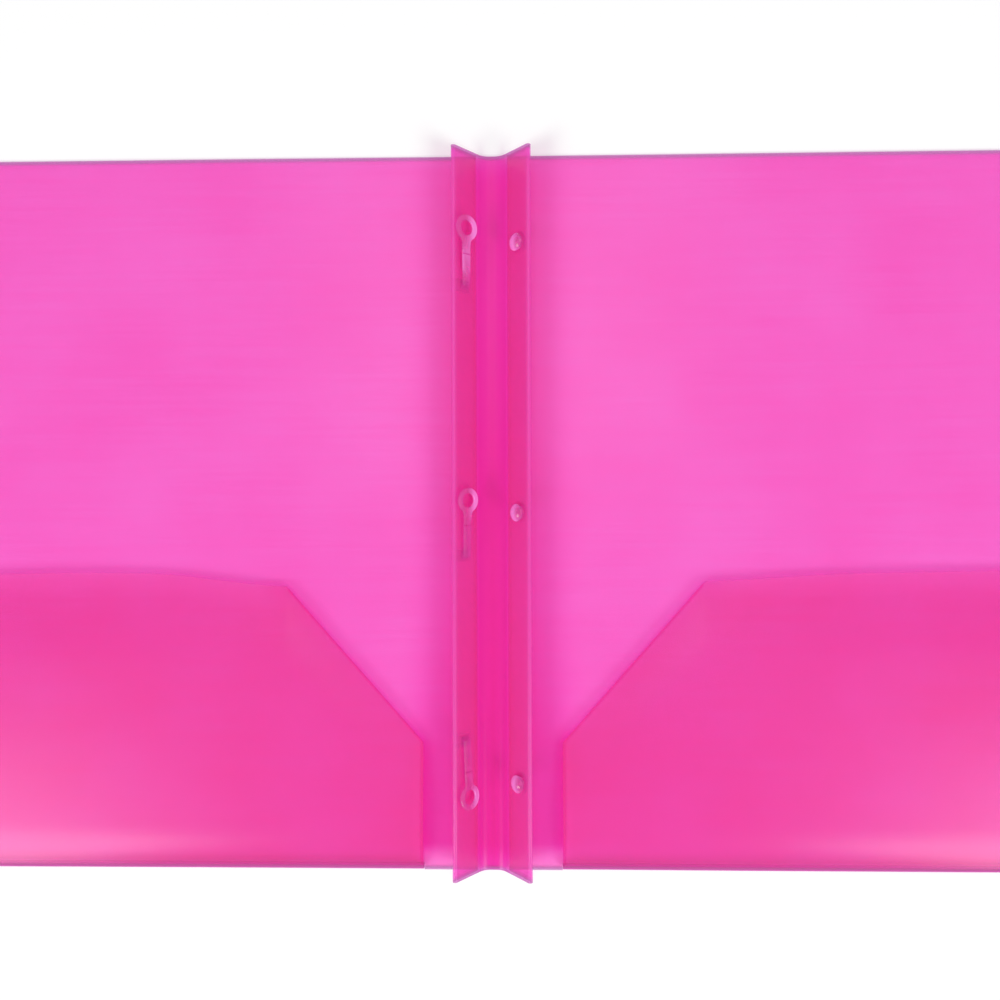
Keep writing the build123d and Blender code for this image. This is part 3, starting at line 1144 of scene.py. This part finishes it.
@dataclass
class LoopStrap:
    """A flexible strap on the left fin with an eyelet that buttons over a stud.

    It is cut in two at its hinge, with a narrow groove on the valley side that leaves room for the bend.
    """

    place: Place
    layout: FolderLayout
    lift: float
    twist: float
    lean: float
    # Where the painted light on the loop starts, and how much painted highlight the tail takes
    lit_from: float
    tail_glow: float
    setback: float = 17.0 * MM
    reach: float = 22.0 * MM
    tongue: float = 12.0 * MM
    width: float = 4.0 * MM
    thickness: float = 1.0 * MM
    ring_radius: float = 5.0 * MM
    hole_radius: float = 2.8 * MM
    shoulder: float = 2.0 * MM
    hinge_gap: float = 0.06 * MM
    groove_tilt: float = 12.0
    root_overlap: float = 0.6 * MM
    root_height: float = 1.35 * MM
    rounding: float = 0.38 * MM
    root_bend: float = 3.0 * MM
    hinge_bend: float = 3.0 * MM
    twist_room: float = 0.5 * MM
    # How the painted light fades in along and across the strap, and where the tail's painted highlight rises
    # and falls
    lit_fade: float = 5.0 * MM
    lit_side: tuple[float, float] = (-1.0 * MM, 4.0 * MM)
    tail_lit: tuple[float, float] = (3.0 * MM, 7.0 * MM)
    tail_dim: tuple[float, float] = (11.0 * MM, 16.0 * MM)
    step: float = 0.5 * MM
    shoulder_steps: int = 10
    arc_steps: int = 40

    def outline(self) -> list[tuple[float, float]]:
        """The edge of the strap laid flat.

        Returns:
            The places along it and across it, round its edge once.
        """
        half = self.width / 2
        lengthwise = math.sqrt((self.ring_radius + self.shoulder) ** 2 - (half + self.shoulder) ** 2)
        neck = self.reach - lengthwise
        swing = math.atan2(half + self.shoulder, lengthwise)
        upper = [(s, half) for s in spaced(-self.root_overlap, neck, self.step)]
        for k in range(1, self.shoulder_steps + 1):
            angle = -math.pi / 2 + (math.pi / 2 - swing) * k / self.shoulder_steps
            along = neck + self.shoulder * math.cos(angle)
            upper.append((along, half + self.shoulder + self.shoulder * math.sin(angle)))
        for k in range(1, self.arc_steps):
            angle = (math.pi - swing) * (1 - k / self.arc_steps)
            along = self.reach + self.ring_radius * math.cos(angle)
            upper.append((along, self.ring_radius * math.sin(angle)))
        end = (self.reach + self.ring_radius, 0.0)
        return upper + [end] + [(along, -across) for along, across in reversed(upper)]

    def flat_mesh(self) -> bpy.types.Mesh:
        """Makes the strap laid flat, with rounded edges.

        Returns:
            A closed mesh, with x along the strap and y across it.
        """
        curve = bpy.data.curves.new("strap_outline", "CURVE")
        curve.dimensions = "2D"
        curve.fill_mode = "BOTH"
        curve.extrude = self.thickness / 2 - self.rounding
        curve.bevel_depth = self.rounding
        curve.bevel_resolution = 3
        curve.offset = -self.rounding
        hole = []
        for k in range(self.arc_steps):
            angle = math.tau * k / self.arc_steps
            hole.append((self.reach + self.hole_radius * math.cos(angle), self.hole_radius * math.sin(angle)))
        for loop in (self.outline(), hole):
            spline = curve.splines.new("POLY")
            spline.points.add(len(loop) - 1)
            for point, (along, across) in zip(spline.points, loop):
                point.co = (along, across, 0.0, 1.0)
            spline.use_cyclic_u = True
        holder = bpy.data.objects.new("strap_outline", curve)
        bpy.context.scene.collection.objects.link(holder)
        evaluated = holder.evaluated_get(bpy.context.evaluated_depsgraph_get())
        mesh = bpy.data.meshes.new_from_object(evaluated)
        bpy.data.objects.remove(holder)
        bpy.data.curves.remove(curve)
        return mesh

    def cut(self, whole: bpy.types.Mesh, name: str, way: int) -> bpy.types.Mesh:
        """Cuts the flat strap at its hinge and closes the cut.

        Args:
            whole: The flat strap.
            name: The name of the part that is kept.
            way: 1 keeps the loop beyond the hinge, and -1 keeps the tongue before it.

        Returns:
            The kept part as a closed mesh.
        """
        shape = bmesh.new()
        shape.from_mesh(whole)
        bmesh.ops.remove_doubles(shape, verts=shape.verts, dist=MERGE_DISTANCE)
        place = Vector((self.tongue + way * self.hinge_gap / 2, 0.0, -self.thickness / 2))
        outward = Vector((-way, 0.0, math.tan(math.radians(self.groove_tilt)))).normalized()
        geometry = [*shape.verts, *shape.edges, *shape.faces]
        found = bmesh.ops.bisect_plane(
            shape, geom=geometry, plane_co=place, plane_no=outward, clear_outer=True
        )
        rim = [part for part in found["geom_cut"] if isinstance(part, bmesh.types.BMEdge)]
        bmesh.ops.holes_fill(shape, edges=rim, sides=0)
        mesh = bpy.data.meshes.new(name)
        shape.to_mesh(mesh)
        shape.free()
        return mesh

    def lift_up(self, mesh: bpy.types.Mesh) -> None:
        """Paints light on the valley side of a flat mesh and along its tail, then bends it up from the fin.

        Args:
            mesh: The flat strap, or a part of it.
        """
        lay = self.layout
        pitches, way = self.place.value
        root = lay.on_fin(
            Side.LEFT, lay.fastener_rise, pitches * lay.hole_pitch - way * self.setback, self.root_height
        )
        across = lay.on_fin(Side.LEFT, 1.0, 0.0, 0.0) - lay.on_fin(Side.LEFT, 0.0, 0.0, 0.0)
        out = lay.on_fin(Side.LEFT, 0.0, 0.0, 1.0) - lay.on_fin(Side.LEFT, 0.0, 0.0, 0.0)
        along = Vector((0.0, way, 0.0))
        lengths = np.array(spaced(-self.root_overlap, self.reach + self.ring_radius, self.step / 2))
        lifted = math.radians(self.lift)
        slopes = lifted * ease(lengths, -self.root_overlap, self.root_bend)
        hinge = ease(lengths, self.tongue - self.hinge_bend, self.tongue + self.hinge_bend)
        slopes += lifted / 2 * hinge
        steps = np.diff(lengths, prepend=lengths[0])
        twisted = math.radians(self.twist)
        rise = max(0.0, self.ring_radius * math.sin(twisted) - self.twist_room)
        turned = ease(lengths, 0.0, self.reach)
        travel = np.cumsum(np.cos(slopes) * steps) - self.root_overlap
        height = np.cumsum(np.sin(slopes) * steps) + rise * turned
        leans = self.lean * ease(lengths, 0.0, self.reach + self.ring_radius)
        curves = (slopes, travel, height, twisted * turned, leans)
        flat = np.array([tuple(vertex.co) for vertex in mesh.vertices])
        # Painted light on the valley side of the loop, and a painted highlight along the tail
        lit = ease(flat[:, 0], self.lit_from, self.lit_from + self.lit_fade)
        lit *= ease(-flat[:, 1], *self.lit_side)
        tail = ease(flat[:, 0], *self.tail_lit) * (1.0 - ease(flat[:, 0], *self.tail_dim))
        mark_points(mesh, Mark.PALE, np.maximum(lit, self.tail_glow * tail))
        for vertex in mesh.vertices:
            flat_along, flat_across, flat_height = vertex.co
            slope, forward, upward, twist, lean = (float(np.interp(flat_along, lengths, c)) for c in curves)
            sideways = flat_across * math.cos(twist) + flat_height * math.sin(twist) + lean
            raised = flat_height * math.cos(twist) - flat_across * math.sin(twist)
            forward -= raised * math.sin(slope)
            upward += raised * math.cos(slope)
            vertex.co = root + along * forward + across * sideways + out * upward

    def build(self, plastic: bpy.types.Material) -> None:
        """Makes the tongue and the loop, each on its own body.

        Args:
            plastic: The fasteners' material.
        """
        label = self.place.label
        whole = self.flat_mesh()
        for part, node, way in (("tongue", "strap", -1), ("loop", "eyelet", 1)):
            name = f"{label}_strap_{part}"
            mesh = self.cut(whole, name, way)
            self.lift_up(mesh)
            piece = object_from(name, mesh)
            piece.data.materials.append(plastic)
            seat(piece, (f"{label}_{part}",), (f"{label}_{node}",))
        bpy.data.meshes.remove(whole)


@dataclass
class Studio:
    """The pale floor, the soft light and the camera that looks straight down."""

    floor_size: float = 6.0
    floor_drop: float = 0.3 * MM
    camera_place: tuple[float, float, float] = (9.83 * MM, 3.77 * MM, 330 * MM)
    camera_turn: tuple[float, float, float] = (0.229, 1.171, -0.17)
    lens: float = 28.98
    nearest: float = 10 * MM
    surround: float = 0.53
    # Name, place, size and power in watts
    soft_boxes: tuple[tuple[str, tuple[float, float, float], float, float], ...] = (
        ("left", (-1.4, -1.2, 1.5), 0.9, 19.5),
        ("right", (1.4, -1.2, 1.5), 0.9, 19.5),
        ("over", (0.0, 0.5, 1.9), 1.0, 4.2),
    )

    def floor(self) -> None:
        """Lays a plain pale floor just under the folder."""
        half = self.floor_size / 2
        mesh = bpy.data.meshes.new("floor")
        corners = ((-half, -half), (half, -half), (half, half), (-half, half))
        mesh.from_pydata([(x, y, -self.floor_drop) for x, y in corners], [], [(0, 1, 2, 3)])
        floor = bpy.data.objects.new("floor", mesh)
        bpy.context.scene.collection.objects.link(floor)
        material = empty_material("pale_studio_floor")
        tree = material.node_tree
        paint = add_node(
            tree,
            "ShaderNodeBsdfPrincipled",
            {"Base Color": srgb("#FFFFFF"), "Roughness": 0.9, "Specular IOR Level": 0.1},
        ).outputs[0]
        add_node(tree, "ShaderNodeOutputMaterial", {"Surface": paint})
        mesh.materials.append(material)

    def light(self) -> None:
        """Sets an even white surround and soft boxes above and in front."""
        world = bpy.data.worlds.new("soft_surround")
        world.use_nodes = True
        tree = world.node_tree
        tree.nodes.clear()
        glow = add_node(
            tree, "ShaderNodeBackground", {"Color": srgb("#FFFFFF"), "Strength": self.surround}
        ).outputs[0]
        add_node(tree, "ShaderNodeOutputWorld", {"Surface": glow})
        bpy.context.scene.world = world
        for name, place, size, power in self.soft_boxes:
            lamp = bpy.data.lights.new(f"{name}_soft_box", "AREA")
            lamp.size = size
            lamp.energy = power
            box = bpy.data.objects.new(lamp.name, lamp)
            box.location = place
            box.rotation_euler = (-Vector(place)).to_track_quat("-Z", "Y").to_euler()
            bpy.context.scene.collection.objects.link(box)

    def camera(self) -> None:
        """Hangs the camera above the folder, close enough to cut off the fore edges."""
        data = bpy.data.cameras.new("camera")
        data.lens = self.lens
        data.clip_start = self.nearest
        camera = bpy.data.objects.new("camera", data)
        camera.location = self.camera_place
        camera.rotation_euler = [math.radians(angle) for angle in self.camera_turn]
        bpy.context.scene.collection.objects.link(camera)
        bpy.context.scene.camera = camera

    def build(self) -> None:
        """Sets the floor, the light, the camera and the plain view."""
        self.floor()
        self.light()
        self.camera()
        scene = bpy.context.scene
        scene.view_settings.view_transform = "Standard"
        scene.cycles.transparent_max_bounces = 40
        scene.cycles.diffuse_bounces = 12
        scene.cycles.max_bounces = 24
        LOG.info("studio set")


def dress_nodes(plastics: dict[str, bpy.types.Material]) -> None:
    """Gives the frame's own nodes that still show their materials.

    Args:
        plastics: A material for each ending of a node's name.
    """
    for name, node in frame["nodes"].items():
        for ending, material in plastics.items():
            if name.endswith(ending):
                node.data.materials.clear()
                node.data.materials.append(material)


def main() -> None:
    """Builds every piece of the folder on the frame, then the studio."""
    logging.basicConfig(level=logging.INFO, format="%(message)s")
    layout = FolderLayout.from_frame()
    film = SheetFinish().material()
    fastener = FastenerFinish().material()
    cap = FastenerFinish("moulded_polypropylene_cap", gloss_roughness=0.35).material()
    tree = row_along_spine()
    # Bow and tilt of each pocket's lip, and the droop of its corner
    lips = (
        (Side.LEFT, 2.0 * MM, 0.0, 3.6 * MM),
        (Side.RIGHT, 0.4 * MM, 2.8 * MM, 1.7 * MM),
    )
    for side, bow, tilt, droop in lips:
        BindingFin(side, layout).build(film)
        cover = CoverLeaf(side, layout)
        cover.build(film)
        Pocket(side, layout, cover, bow, tilt, droop).build(film)
    StudRow(layout).build(fastener, tree)
    # Lift and twist in degrees, lean, where the painted light on the loop starts and how much painted
    # highlight the tail takes
    straps = (
        (Place.TOP, 4.0, 10.0, 2.0 * MM, 12.0 * MM, 0.6),
        (Place.MIDDLE, 3.0, 5.0, 0.6 * MM, 13.0 * MM, 0.0),
        (Place.BOTTOM, 3.0, 0.0, 0.0, 16.0 * MM, 0.0),
    )
    for place, lift, twist, lean, lit_from, tail_glow in straps:
        LoopStrap(place, layout, lift, twist, lean, lit_from, tail_glow).build(fastener)
    dress_nodes({"_strap_anchor": fastener, "_cap": cap})
    Studio().build()


if __name__ == "__main__":
    main()
